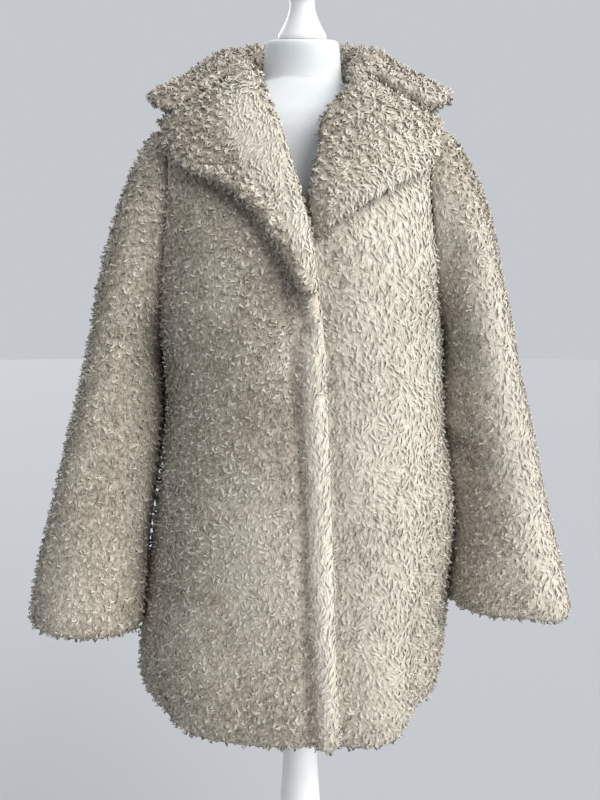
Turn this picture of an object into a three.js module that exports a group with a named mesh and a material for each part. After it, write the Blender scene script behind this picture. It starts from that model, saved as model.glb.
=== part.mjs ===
import * as THREE from "three";

// A faux fur coat on a limbless dress form, at rest on its round base.
// Millimetres. X is the viewer's right, Y points away from the viewer, Z is up.
// The origin is the middle of the base's underside, on the floor.
// "Right" and "left" in a node's name are the wearer's; right lies at the viewer's left.

// Cloth
const WALL = 12; // backing and curly pile together
const COLLAR_WALL = 20; // upper and under collar, pile on both
const SEAM = 0.4; // gap between neighbouring pieces
const HEM_Z = 562;
const UNDERARM_Z = 1078;
const TIP_Z = 1345; // shoulder tip, top of the armhole
const NECK_Z = 1400; // top of the body panels
const ARMHOLE_FRONT = 80; // reach of the armhole before and behind the side seam
const ARMHOLE_BACK = 76;
const BREAK_Z = 1190; // where the lapels start to turn
const UNDERLAP = 11; // how far the under front sinks below the over front
const OVER_RISE = 2; // how far the over front rises
const ROLL = 8; // height of the soft roll along the front edge
const ROLL_HALF_WIDTH = 24;
const ROLL_SHIFT = 2; // of its top, towards the edge
const LAPEL_SEWN = { right: 0.9, left: 2.7 }; // how far a lapel lies off where it turns back
const LAPEL_REST = 2.7; // the same over its middle
const LAPEL_SPRING = 4; // how much further its outer edge lies off

// Form
const FORM_GAP = 0.4; // between the coat's inside and the form's shoulders
const FORM_BOTTOM_Z = 748;
const NECK_TILT = THREE.MathUtils.degToRad(17);
const BASE_RADIUS = 200;
const BASE_HEIGHT = 30;

// Mesh fineness
const HEM_ROWS = 13;
const ARMHOLE_STEPS = 12;
const SHOULDER_ROWS = 5;
const FRONT_COLUMNS = 13;
const BACK_COLUMNS = 20;
const SLEEVE_HEAD_RINGS = 7;
const LAPEL_ROWS = 15;
const LAPEL_COLUMNS = 6;
const COLLAR_STEPS = 12; // from its foot to its edge
const COLLAR_BETWEEN = 2; // rows for each station
const TORSO_SEGMENTS = 30;
const TURNED_SEGMENTS = 26;

const FUR = new THREE.MeshStandardMaterial({ color: 0xcfc2ae, roughness: 0.95, metalness: 0 });
const JERSEY = new THREE.MeshStandardMaterial({ color: 0xe4e4e6, roughness: 0.9, metalness: 0 });
const LACQUER = new THREE.MeshStandardMaterial({ color: 0xe8e8ea, roughness: 0.35, metalness: 0 });

// Body sections from the hem up: half widths and depths from the coat's upright axis.
const BODY = [
  { z: 562, left: 214, right: 180, front: 157, back: 148, power: 2.1 },
  { z: 590, left: 223, right: 187, front: 160, back: 152, power: 2.1 },
  { z: 640, left: 224, right: 192, front: 160, back: 153, power: 2.15 },
  { z: 720, left: 213, right: 198, front: 158, back: 151, power: 2.2 },
  { z: 800, left: 202, right: 209, front: 157, back: 149, power: 2.25 },
  { z: 850, left: 195, right: 211, front: 156, back: 146, power: 2.3 },
  { z: 920, left: 184, right: 197, front: 156, back: 141, power: 2.3 },
  { z: 1000, left: 178, right: 190, front: 156, back: 136, power: 2.35 },
  { z: 1078, left: 183, right: 187, front: 154, back: 133, power: 2.4 },
  { z: 1180, left: 189, right: 189, front: 146, back: 131, power: 2.4 },
  { z: 1260, left: 190, right: 190, front: 126, back: 124, power: 2.4 },
  { z: 1310, left: 190, right: 190, front: 106, back: 110, power: 2.35 },
  { z: 1335, left: 190, right: 190, front: 94, back: 99, power: 2.3 },
  { z: 1345, left: 187, right: 187, front: 88, back: 94, power: 2.3 },
  { z: 1356, left: 168, right: 168, front: 82, back: 88, power: 2.2 },
  { z: 1370, left: 137, right: 137, front: 75, back: 81, power: 2.1 },
  { z: 1386, left: 102, right: 102, front: 68, back: 75, power: 2.05 },
  { z: 1400, left: 76, right: 76, front: 62, back: 70, power: 2 },
];

// Height of the hem round each side, by turn from the side seam in degrees.
const HEM = [
  { turn: -180, right: 568, left: 568 },
  { turn: -90, right: 567, left: 563 },
  { turn: -62, right: 568, left: 556 },
  { turn: -45, right: 571, left: 563 },
  { turn: -25, right: 579, left: 579 },
  { turn: 0, right: 577, left: 583 },
  { turn: 40, right: 573, left: 574 },
  { turn: 90, right: 568, left: 568 },
];
const HEM_FADE_Z = 860; // above this the hem's rise and dip are gone

// Where the over front ends at its free edge, and above the break at the roll of its lapel.
const OVER_EDGE = [
  { z: 562, x: 54 },
  { z: 634, x: 48 },
  { z: 757, x: 44 },
  { z: 914, x: 39 },
  { z: 1075, x: 31 },
  { z: 1125, x: 26 },
  { z: 1155, x: 19 },
  { z: 1190, x: 13 },
  { z: 1222, x: 3 },
  { z: 1262, x: -7 },
  { z: 1312, x: -22 },
  { z: 1355, x: -36 },
  { z: 1383, x: -47 },
  { z: 1400, x: -58 },
];

// The same for the under front, whose lower edge is hidden.
const UNDER_EDGE = [
  { z: 562, x: -16 },
  { z: 1075, x: -18 },
  { z: 1150, x: -19 },
  { z: 1180, x: -13 },
  { z: 1202, x: -3 },
  { z: 1228, x: 7 },
  { z: 1262, x: 15 },
  { z: 1297, x: 26 },
  { z: 1333, x: 40 },
  { z: 1357, x: 52 },
  { z: 1383, x: 58 },
  { z: 1400, x: 61 },
];

// The ditch beside the roll of the front edge, held down by the hidden fasteners.
const DITCH = [
  { z: 562, x: 26 },
  { z: 634, x: 22 },
  { z: 757, x: 9 },
  { z: 820, x: 3 },
  { z: 1054, x: 0 },
  { z: 1100, x: -6 },
  { z: 1150, x: -14 },
];

// Outlines of the lapels: the turned edge, and the outer edge up round the point to the neck.
const LAPEL_RIGHT = [
  { z: 1122, roll: 25, outer: 2 },
  { z: 1150, roll: 19, outer: -12 },
  { z: 1183, roll: 14, outer: -27 },
  { z: 1206, roll: 8, outer: -43 },
  { z: 1228, roll: 1, outer: -63 },
  { z: 1246, roll: -3, outer: -88 },
  { z: 1264, roll: -8, outer: -124 },
  { z: 1279, roll: -12, outer: -148 },
  { z: 1296, roll: -17, outer: -159 },
  { z: 1316, roll: -24, outer: -162 },
  { z: 1330, roll: -28, outer: -154 },
  { z: 1350, roll: -34, outer: -122 },
  { z: 1372, roll: -43, outer: -84 },
  { z: 1390, roll: -52, outer: -58 },
];
const LAPEL_LEFT = [
  { z: 1184, roll: 18, outer: 24 },
  { z: 1202, roll: 15, outer: 40 },
  { z: 1227, roll: 9, outer: 84 },
  { z: 1244, roll: 11, outer: 109 },
  { z: 1256, roll: 13, outer: 132 },
  { z: 1267, roll: 16, outer: 151 },
  { z: 1284, roll: 21, outer: 163 },
  { z: 1300, roll: 27, outer: 169 },
  { z: 1318, roll: 34, outer: 167 },
  { z: 1330, roll: 39, outer: 157 },
  { z: 1350, roll: 50, outer: 126 },
  { z: 1372, roll: 57, outer: 92 },
  { z: 1390, roll: 60, outer: 66 },
];

// Largest soft folds of the body: where each runs, in degrees round from its side seam,
// and its width and height. Fronts lie at negative turns and the back at positive ones.
const BODY_FOLDS = [
  { side: -1, fromZ: 565, toZ: 900, fromTurn: -24, toTurn: -34, width: 11, height: -7 },
  { side: -1, fromZ: 562, toZ: 1010, fromTurn: -50, toTurn: -58, width: 9, height: 5 },
  { side: -1, fromZ: 900, toZ: 1200, fromTurn: -38, toTurn: -62, width: 9, height: -5 },
  { side: -1, fromZ: 565, toZ: 820, fromTurn: -74, toTurn: -70, width: 7, height: -4 },
  { side: 1, fromZ: 564, toZ: 950, fromTurn: -30, toTurn: -40, width: 10, height: -6 },
  { side: 1, fromZ: 562, toZ: 1120, fromTurn: -52, toTurn: -60, width: 8, height: 5 },
  { side: 1, fromZ: 880, toZ: 1210, fromTurn: -34, toTurn: -52, width: 9, height: -5 },
  { side: 1, fromZ: 570, toZ: 840, fromTurn: -11, toTurn: -16, width: 8, height: 4 },
  { side: -1, fromZ: 565, toZ: 980, fromTurn: 26, toTurn: 36, width: 10, height: -6 },
  { side: -1, fromZ: 562, toZ: 1060, fromTurn: 54, toTurn: 60, width: 10, height: 6 },
  { side: -1, fromZ: 900, toZ: 1220, fromTurn: 30, toTurn: 50, width: 10, height: -5 },
  { side: 1, fromZ: 562, toZ: 960, fromTurn: 70, toTurn: 78, width: 8, height: -6 },
  { side: 1, fromZ: 565, toZ: 1050, fromTurn: 34, toTurn: 44, width: 10, height: 6 },
  { side: 1, fromZ: 880, toZ: 1200, fromTurn: 26, toTurn: 44, width: 9, height: -5 },
];

// Sleeve sections below the armhole: the outer and inner points of each, seen from the front,
// and how far it reaches before and behind its own middle line.
const SLEEVE_RIGHT = [
  { outX: -276, outZ: 1072, inX: -197, inZ: 1028, middle: -6, front: 84, back: 82 },
  { outX: -291, outZ: 1006, inX: -201, inZ: 985, middle: -10, front: 80, back: 78 },
  { outX: -306, outZ: 943, inX: -207, inZ: 928, middle: -15, front: 77, back: 75 },
  { outX: -319, outZ: 885, inX: -216, inZ: 872, middle: -20, front: 74, back: 72 },
  { outX: -331, outZ: 832, inX: -223, inZ: 818, middle: -25, front: 72, back: 70 },
  { outX: -344, outZ: 782, inX: -226, inZ: 768, middle: -29, front: 71, back: 69 },
  { outX: -355, outZ: 735, inX: -226, inZ: 722, middle: -33, front: 70, back: 68 },
  { outX: -361, outZ: 708, inX: -225, inZ: 696, middle: -36, front: 69, back: 67 },
  { outX: -356, outZ: 691, inX: -226, inZ: 680, middle: -38, front: 66, back: 64 },
];
const SLEEVE_LEFT = [
  { outX: 280, outZ: 1072, inX: 198, inZ: 1028, middle: -6, front: 84, back: 82 },
  { outX: 295, outZ: 1004, inX: 202, inZ: 985, middle: -9, front: 80, back: 78 },
  { outX: 309, outZ: 938, inX: 211, inZ: 928, middle: -13, front: 77, back: 75 },
  { outX: 321, outZ: 880, inX: 220, inZ: 874, middle: -17, front: 74, back: 72 },
  { outX: 333, outZ: 827, inX: 225, inZ: 822, middle: -21, front: 72, back: 70 },
  { outX: 344, outZ: 780, inX: 224, inZ: 776, middle: -25, front: 71, back: 69 },
  { outX: 355, outZ: 738, inX: 221, inZ: 738, middle: -29, front: 70, back: 68 },
  { outX: 362, outZ: 716, inX: 219, inZ: 722, middle: -32, front: 69, back: 67 },
  { outX: 358, outZ: 700, inX: 222, inZ: 711, middle: -34, front: 66, back: 64 },
];

// How steeply each sleeve leaves the shoulder tip and the underarm.
const TIP_DROP_RIGHT = 1.05;
const TIP_DROP_LEFT = 0.65;
const UNDERARM_DROP = 2.6;

// Folds across the sleeves, bowed at the elbow: the height of the middle, the turn in degrees
// round from the outer line (front is negative), half the length in degrees, half the width.
const SLEEVE_FOLDS = [
  { z: 975, turn: -60, spread: 90, width: 35, height: -5 },
  { z: 905, turn: -75, spread: 82, width: 42, height: 5 },
  { z: 850, turn: -50, spread: 98, width: 32, height: -5 },
  { z: 780, turn: -85, spread: 75, width: 42, height: 4 },
  { z: 940, turn: 95, spread: 90, width: 38, height: -5 },
  { z: 870, turn: 80, spread: 90, width: 38, height: 5 },
];
const FOLD_SLANT = 0.25; // rise of a sleeve fold's ends, for each degree round
const SLEEVE_POWER = 2.3; // squareness of a sleeve's section

// Collar stations from the notch round to the middle of the back, for one side. Each gives
// the middle of the wall at its foot, half way out and at the edge, with the height of the
// roll between them and how far the roll leans out.
const COLLAR = [
  { foot: [60, -46, 1411], rollZ: 1419, lean: 8, middle: [118, -62, 1397], edge: [166, -66, 1365] },
  { foot: [66, -30, 1404], rollZ: 1427, lean: 9, middle: [126, -40, 1404], edge: [190, -46, 1375] },
  { foot: [69, -12, 1404], rollZ: 1434, lean: 10, middle: [128, -12, 1410], edge: [191, -12, 1377] },
  { foot: [69, 10, 1403], rollZ: 1443, lean: 9, middle: [128, 20, 1409], edge: [182, 30, 1374] },
  { foot: [61, 32, 1402], rollZ: 1456, lean: 8, middle: [113, 62, 1404], edge: [150, 84, 1360] },
  { foot: [46, 48, 1402], rollZ: 1466, lean: 6, middle: [80, 91, 1398], edge: [101, 115, 1344] },
  { foot: [24, 60, 1402], rollZ: 1470, lean: 3, middle: [41, 103, 1395], edge: [50, 125, 1334] },
  { foot: [0, 64, 1402], rollZ: 1471, lean: 0, middle: [0, 107, 1394], edge: [0, 128, 1331] },
];
const ROLL_LEAN = 6; // least lean of the roll
const ROLL_WIDTH = 22; // from the roll's top to where the collar falls away
const STAND = 60; // height of a full stand, from the foot to the roll
const STAND_BEND = 6; // how far a full stand bows inwards
const ROLL_FALL = { least: 4, full: 9 }; // how far the collar falls across the roll

// Space between the coat's inside and the form, at the sides, front and back.
const FORM_EASE = [
  { z: 748, side: 62, front: 64, back: 42 },
  { z: 830, side: 30, front: 50, back: 28 },
  { z: 900, side: 30, front: 56, back: 32 },
  { z: 1000, side: 52, front: 66, back: 46 },
  { z: 1080, side: 46, front: 54, back: 40 },
  { z: 1180, side: 32, front: 31, back: 26 },
  { z: 1260, side: 26, front: 28, back: 18 },
  { z: 1320, side: 22, front: 16, back: 8 },
  { z: 1345, side: 12, front: 8, back: 3 },
  { z: 1358, side: 0, front: 4, back: 0 },
  { z: 1400, side: 0, front: 2, back: 0 },
];

// Heights of the trunk's rings.
const FORM_ROWS = [
  FORM_BOTTOM_Z, 775, 830, 900, 950, 1000, 1050, 1100, 1150, 1200, 1250, 1290, 1320, 1338,
  1347, 1356, 1366, 1377, 1388, 1398,
];

// Neck of the form above the shoulders: half width and depth, and its middle line.
const FORM_NECK = [
  { z: 1393, middle: 2, width: 57, depth: 52 },
  { z: 1399, middle: 1, width: 53.5, depth: 51 },
  { z: 1408, middle: 0, width: 51.5, depth: 51 },
  { z: 1425, middle: -5, width: 50, depth: 49.5 },
  { z: 1443, middle: -10, width: 48.5, depth: 48.5 },
  { z: 1448, middle: -12, width: 46, depth: 46 },
  { z: 1450, middle: -12.5, width: 42, depth: 42 },
];
const NECK_TOP = FORM_NECK[FORM_NECK.length - 1];
const NECK_X = 3;

// Reads one column of a table as a smooth curve over another, with no overshoot.
function curve(table, along, column) {
  const at = table.map((row) => row[along]);
  const value = table.map((row) => row[column]);
  const slope = at.slice(1).map((next, i) => (value[i + 1] - value[i]) / (next - at[i]));
  const tangent = value.map((_, i) => {
    const before = slope[Math.max(i - 1, 0)];
    const after = slope[Math.min(i, slope.length - 1)];
    return before * after <= 0 ? 0 : (2 * before * after) / (before + after);
  });
  return (place) => {
    const last = at.length - 1;
    if (place <= at[0]) return value[0];
    if (place >= at[last]) return value[last];
    const i = at.findIndex((next) => next > place) - 1;
    const step = at[i + 1] - at[i];
    const t = (place - at[i]) / step;
    const bend = t * t * (3 - 2 * t);
    const enter = t * (1 - t) * (1 - t) * step * tangent[i];
    const leave = t * t * (t - 1) * step * tangent[i + 1];
    return value[i] + (value[i + 1] - value[i]) * bend + enter + leave;
  };
}

// Every column of a table as a curve over one of them.
function curves(table, along) {
  const names = Object.keys(table[0]).filter((name) => name !== along);
  return Object.fromEntries(names.map((name) => [name, curve(table, along, name)]));
}

function mix(a, b, t) {
  return a + (b - a) * t;
}

function smoothstep(from, to, value) {
  return THREE.MathUtils.smoothstep((value - from) / (to - from), 0, 1);
}

// A soft hump of height 1 that falls to nothing at one width from its middle.
function hump(distance, width) {
  const t = Math.min(Math.abs(distance) / width, 1);
  return (1 - t * t) ** 2;
}

const body = curves(BODY, "z");
const overEdge = curve(OVER_EDGE, "z", "x");
const underEdge = curve(UNDER_EDGE, "z", "x");
const ditch = curve(DITCH, "z", "x");
const hem = curves(HEM, "turn");
const ease = curves(FORM_EASE, "z");

// A point of the body's outer surface. turn is 0 at the side seam, -90 degrees at the
// middle of the front and 90 at the middle of the back; side is -1 or 1 in X.
function bodyPoint(side, turn, z) {
  const power = body.power(z);
  const [across, deep] = [Math.cos(turn), Math.sin(turn)];
  const reach = (Math.abs(across) ** power + Math.abs(deep) ** power) ** (-1 / power);
  const x = side * across * reach;
  const y = deep * reach;
  return new THREE.Vector3(
    x * (x < 0 ? body.left(z) : body.right(z)),
    y * (y < 0 ? body.front(z) : body.back(z)),
    z,
  );
}

// The outward direction there.
function bodyNormal(side, turn, z) {
  const low = Math.max(z - 1, HEM_Z);
  const high = Math.min(z + 1, NECK_Z);
  const up = bodyPoint(side, turn, high).sub(bodyPoint(side, turn, low));
  const round = bodyPoint(side, turn + 0.01, z).sub(bodyPoint(side, turn - 0.01, z));
  return round.cross(up).multiplyScalar(side).normalize();
}

// Height of the folds above the plain surface.
function foldHeight(side, turn, z) {
  const degrees = THREE.MathUtils.radToDeg(turn);
  let height = 0;
  for (const fold of BODY_FOLDS) {
    const along = (z - fold.fromZ) / (fold.toZ - fold.fromZ);
    if (fold.side !== side || along > 1) continue;
    const fade = 1 - smoothstep(0.25, 1, along);
    const middle = mix(fold.fromTurn, fold.toTurn, Math.max(along, 0));
    height += fold.height * fade * hump(degrees - middle, 2 * fold.width);
  }
  return height;
}

// The turn of the front where its surface is at x, found by halving.
function turnAtX(side, x, z) {
  let [low, high] = [-Math.PI, 0];
  for (let i = 0; i < 40; i += 1) {
    const middle = (low + high) / 2;
    if (side * bodyPoint(side, middle, z).x < side * x) low = middle;
    else high = middle;
  }
  return (low + high) / 2;
}

// The turn where the surface is at y, between the side seam and the middle of that face.
function turnAtY(side, y, z) {
  let [low, high] = [0, (Math.sign(y) * Math.PI) / 2];
  for (let i = 0; i < 40; i += 1) {
    const middle = (low + high) / 2;
    if (Math.abs(bodyPoint(side, middle, z).y) < Math.abs(y)) low = middle;
    else high = middle;
  }
  return (low + high) / 2;
}

// Joins an outer and an inner grid of points into one closed wall. A wall that wraps
// closes on itself round each row and keeps its two ends open.
function wall(outer, inner, wraps) {
  const rows = outer.length;
  const columns = outer[0].length;
  const positions = [...outer.flat(), ...inner.flat()].flatMap((p) => p.toArray());
  const index = [];
  const out = (row, column) => row * columns + (column % columns);
  const back = (row, column) => rows * columns + out(row, column);
  const quad = (a, b, c, d) => index.push(a, b, c, a, c, d);
  const last = wraps ? columns : columns - 1;
  const end = rows - 1;
  for (let row = 0; row < end; row += 1) {
    for (let column = 0; column < last; column += 1) {
      quad(out(row, column), out(row, column + 1), out(row + 1, column + 1), out(row + 1, column));
      quad(back(row, column), back(row + 1, column), back(row + 1, column + 1), back(row, column + 1));
    }
    if (!wraps) {
      quad(out(row + 1, 0), back(row + 1, 0), back(row, 0), out(row, 0));
      quad(out(row, last), back(row, last), back(row + 1, last), out(row + 1, last));
    }
  }
  for (let column = 0; column < last; column += 1) {
    quad(back(0, column), back(0, column + 1), out(0, column + 1), out(0, column));
    quad(out(end, column), out(end, column + 1), back(end, column + 1), back(end, column));
  }
  return facingOut(positions, index);
}

// A solid between closed rings, with a flat fan at each end.
function stackOfRings(rings) {
  const around = rings[0].length;
  const ends = [rings[0], rings[rings.length - 1]].map(middleOf);
  const positions = [...rings.flat(), ...ends].flatMap((p) => p.toArray());
  const index = [];
  const at = (ring, i) => ring * around + (i % around);
  const bottom = rings.length * around;
  for (let i = 0; i < around; i += 1) {
    for (let ring = 0; ring + 1 < rings.length; ring += 1) {
      index.push(at(ring, i), at(ring, i + 1), at(ring + 1, i + 1));
      index.push(at(ring, i), at(ring + 1, i + 1), at(ring + 1, i));
    }
    index.push(bottom, at(0, i + 1), at(0, i));
    index.push(bottom + 1, at(rings.length - 1, i), at(rings.length - 1, i + 1));
  }
  return facingOut(positions, index);
}

function middleOf(points) {
  const sum = points.reduce((total, p) => total.add(p), new THREE.Vector3());
  return sum.divideScalar(points.length);
}

// A geometry whose faces point out, whichever way its triangles were listed.
function facingOut(positions, index) {
  let volume = 0;
  const corner = (i) => new THREE.Vector3().fromArray(positions, 3 * index[i]);
  for (let i = 0; i < index.length; i += 3) {
    volume += corner(i).dot(corner(i + 1).cross(corner(i + 2)));
  }
  const geometry = new THREE.BufferGeometry();
  geometry.setAttribute("position", new THREE.Float32BufferAttribute(positions, 3));
  geometry.setIndex(volume < 0 ? index.reverse() : index);
  geometry.computeVertexNormals();
  return geometry;
}

function meshOf(name, geometry, material) {
  const made = new THREE.Mesh(geometry, material);
  made.name = name;
  return made;
}

// The height a row really has at one place, once the hem's own line is taken in.
function settledZ(side, turn, z) {
  const degrees = THREE.MathUtils.radToDeg(turn);
  const line = side < 0 ? hem.right(degrees) : hem.left(degrees);
  return z + (line - HEM_Z) * smoothstep(HEM_FADE_Z, HEM_Z, z);
}

// Heights of the body's rows: up to the underarm, round the armhole, and up the shoulder.
function bodyRows() {
  const rows = [];
  for (let i = 0; i < HEM_ROWS; i += 1) rows.push(mix(HEM_Z, UNDERARM_Z, i / HEM_ROWS));
  for (let i = 0; i < ARMHOLE_STEPS; i += 1) rows.push(armholeZ(i));
  for (let i = 0; i <= SHOULDER_ROWS; i += 1) rows.push(mix(TIP_Z, NECK_Z, i / SHOULDER_ROWS));
  return rows;
}

function armholeZ(step) {
  return mix(UNDERARM_Z, TIP_Z, (1 - Math.cos((Math.PI * step) / ARMHOLE_STEPS)) / 2);
}

// Where a body panel starts at its side: the side seam, the armhole or the shoulder seam.
function sideTurn(side, face, z) {
  const seam = (face * SEAM) / 2 / body.front(z);
  if (z <= UNDERARM_Z || z >= TIP_Z) return seam;
  const climb = (z - UNDERARM_Z) / (TIP_Z - UNDERARM_Z);
  const open = (4 * climb * (1 - climb)) ** 0.42;
  const reach = open * (face < 0 ? ARMHOLE_FRONT : ARMHOLE_BACK);
  return Math.abs(turnAtY(side, face * reach, z)) * face + seam;
}

// The turn of one column: evenly spaced, but crowded beside the armhole.
function columnTurn(from, to, across) {
  return to * across + from * (1 - across) ** 2;
}

// At the armhole the wall's inner edge turns from the body's inside to the hole's middle.
function armholeInward(point, normal) {
  const middle = new THREE.Vector3(point.x, 0, (UNDERARM_Z + TIP_Z) / 2);
  const inwards = middle.sub(point).multiplyScalar(1 / 110).clampLength(0, 1);
  return inwards.multiplyScalar(0.75).sub(normal.clone().multiplyScalar(0.45)).normalize();
}

// The outer and inner points of a body panel at one place, raised by its folds and lift.
function bodyWall(side, turn, z, lift, atArmhole) {
  const normal = bodyNormal(side, turn, z);
  const outer = bodyPoint(side, turn, z).addScaledVector(normal, lift);
  outer.z += settledZ(side, turn, z) - z;
  const inwards = atArmhole ? armholeInward(outer, normal) : normal.clone().negate();
  return [outer, outer.clone().addScaledVector(inwards, WALL)];
}

// How far the over front stands off the plain surface: it rises over the under front,
// dips at the ditch and swells in the roll along its edge, up to where the lapel turns back.
function overLift(x, z) {
  const below = smoothstep(BREAK_Z + 40, BREAK_Z - 30, z);
  const edge = overEdge(z);
  const rise = mix(smoothstep(edge - 60, edge - 10, x), smoothstep(-80, -30, x), below);
  const middle = (ditch(z) + edge) / 2 + ROLL_SHIFT;
  return OVER_RISE * rise + ROLL * below * hump(x - middle, ROLL_HALF_WIDTH);
}

// The under front sinks beneath the over front, then comes level beside its edge.
function underLift(x, z) {
  return -UNDERLAP * smoothstep(overEdge(z) + 30, overEdge(z) + 3, x);
}

// A front's whole lift: its flap's, and its folds' away from the flap.
function frontLift(side, turn, z) {
  const x = bodyPoint(side, turn, z).x;
  const flap = side < 0 ? overLift(x, z) : underLift(x, z);
  const [flat, folded] = side < 0 ? [-20, -60] : [overEdge(z) + 20, overEdge(z) + 70];
  return flap + smoothstep(flat, folded, x) * foldHeight(side, turn, z);
}

function inArmhole(z) {
  return z > UNDERARM_Z - 1 && z < TIP_Z + 1;
}

function frontPanel(name, side) {
  const edge = side < 0 ? overEdge : underEdge;
  const grids = [[], []];
  for (const z of bodyRows()) {
    const [from, to] = [sideTurn(side, -1, z), turnAtX(side, edge(z), z)];
    const row = [];
    for (let column = 0; column <= FRONT_COLUMNS; column += 1) {
      const turn = columnTurn(from, to, column / FRONT_COLUMNS);
      const lift = frontLift(side, turn, z);
      row.push(bodyWall(side, turn, z, lift, column === 0 && inArmhole(z)));
    }
    grids.forEach((grid, layer) => grid.push(row.map((pair) => pair[layer])));
  }
  return meshOf(name, wall(grids[0], grids[1], false), FUR);
}

function backPanel() {
  const grids = [[], []];
  for (const z of bodyRows()) {
    const row = [];
    for (let column = 0; column <= BACK_COLUMNS; column += 1) {
      const across = column / BACK_COLUMNS;
      const side = across < 0.5 ? -1 : 1;
      const turn = columnTurn(sideTurn(side, 1, z), Math.PI / 2, 1 - Math.abs(2 * across - 1));
      const atEnd = column === 0 || column === BACK_COLUMNS;
      const lift = foldHeight(side, turn, z) * smoothstep(88, 70, THREE.MathUtils.radToDeg(turn));
      row.push(bodyWall(side, turn, z, lift, atEnd && inArmhole(z)));
    }
    grids.forEach((grid, layer) => grid.push(row.map((pair) => pair[layer])));
  }
  return meshOf("back", wall(grids[0], grids[1], false), FUR);
}

// The armhole as a closed loop: up its front edge from the underarm and down its back edge.
function armholeLoop(side) {
  const loop = [];
  for (let i = 0; i < 2 * ARMHOLE_STEPS; i += 1) {
    const face = i < ARMHOLE_STEPS ? -1 : 1;
    const step = i < ARMHOLE_STEPS ? i : 2 * ARMHOLE_STEPS - i;
    const z = armholeZ(step);
    const atSeam = step === 0 || step === ARMHOLE_STEPS;
    const turn = atSeam ? 0 : sideTurn(side, face, z);
    const lift = atSeam ? 0 : face < 0 ? frontLift(side, turn, z) : foldHeight(side, turn, z);
    const [outer, inner] = bodyWall(side, turn, z, lift, true);
    const apart = new THREE.Vector3(side * SEAM, 0, 0);
    const angle = Math.PI * (i / ARMHOLE_STEPS - 0.5);
    loop.push({ outer: outer.add(apart), inner: inner.add(apart), angle });
  }
  return loop;
}

// The point of a sleeve section that the armhole's point at this angle runs down to.
function sleevePoint(section, angle) {
  const [across, deep] = [Math.sin(angle), -Math.cos(angle)];
  const sum = Math.abs(across) ** SLEEVE_POWER + Math.abs(deep) ** SLEEVE_POWER;
  const reach = sum ** (-1 / SLEEVE_POWER);
  const out = (1 + across * reach) / 2;
  return new THREE.Vector3(
    mix(section.inX, section.outX, out),
    section.middle + deep * reach * (deep < 0 ? section.front : section.back),
    mix(section.inZ, section.outZ, out),
  );
}

// How a sleeve leaves the armhole: steeply at the shoulder tip and the underarm, outwards between.
function sleeveLeave(side, angle) {
  const climb = Math.sin(angle);
  const atTip = side < 0 ? TIP_DROP_RIGHT : TIP_DROP_LEFT;
  const drop = 0.45 + (climb > 0 ? atTip : UNDERARM_DROP) * climb * climb;
  return new THREE.Vector3(side, -0.3 * Math.cos(angle), -drop).normalize();
}

function sleeveFold(angle, z) {
  const degrees = THREE.MathUtils.radToDeg(angle) - 90;
  let height = 0;
  for (const fold of SLEEVE_FOLDS) {
    const round = Math.abs(((degrees - fold.turn + 540) % 360) - 180);
    const across = hump(z - fold.z - FOLD_SLANT * round, fold.width);
    height += fold.height * across * hump(round, fold.spread);
  }
  return height;
}

// A sleeve: rings that leave the armhole and bend down to the first section, then the sections.
function sleeve(name, side, sections) {
  const loop = armholeLoop(side);
  const first = loop.map((start) => sleevePoint(sections[0], start.angle));
  const second = loop.map((start) => sleevePoint(sections[1], start.angle));
  const rings = [];
  for (let ring = 0; ring < SLEEVE_HEAD_RINGS; ring += 1) {
    const t = ring / SLEEVE_HEAD_RINGS;
    rings.push(loop.map((start, i) => {
      const far = start.outer.distanceTo(first[i]);
      const leave = sleeveLeave(side, start.angle).multiplyScalar(far * 1.05);
      const arrive = second[i].clone().sub(first[i]).setLength(far * 1.05);
      return hermite(start.outer, leave, first[i], arrive, t);
    }));
  }
  for (const section of sections) rings.push(loop.map((start) => sleevePoint(section, start.angle)));
  const outer = rings.map((ring, r) => ring.map((point, i) => {
    const raised = r < SLEEVE_HEAD_RINGS ? 0 : sleeveFold(loop[i].angle, point.z);
    return point.clone().addScaledVector(gridNormal(rings, r, i, side), raised);
  }));
  const inner = outer.map((ring, r) => ring.map((point, i) => {
    if (r === 0) return loop[i].inner;
    const inwards = gridNormal(outer, r, i, side).multiplyScalar(-WALL);
    const settled = Math.min(1, r / 2);
    const start = loop[i].inner.clone().sub(loop[i].outer);
    return point.clone().add(start.lerp(inwards, settled));
  }));
  return meshOf(name, wall(outer, inner, true), FUR);
}

function hermite(from, leave, to, arrive, t) {
  const bend = t * t * (3 - 2 * t);
  return from.clone().lerp(to, bend)
    .addScaledVector(leave, t * (1 - t) * (1 - t))
    .addScaledVector(arrive, t * t * (t - 1));
}

// Outward direction of a tube's grid at one of its points.
function gridNormal(rings, r, i, side) {
  const around = rings[r].length;
  const down = rings[Math.min(r + 1, rings.length - 1)][i].clone().sub(rings[Math.max(r - 1, 0)][i]);
  const round = rings[r][(i + 1) % around].clone().sub(rings[r][(i + around - 1) % around]);
  return down.cross(round).multiplyScalar(side).normalize();
}

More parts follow.
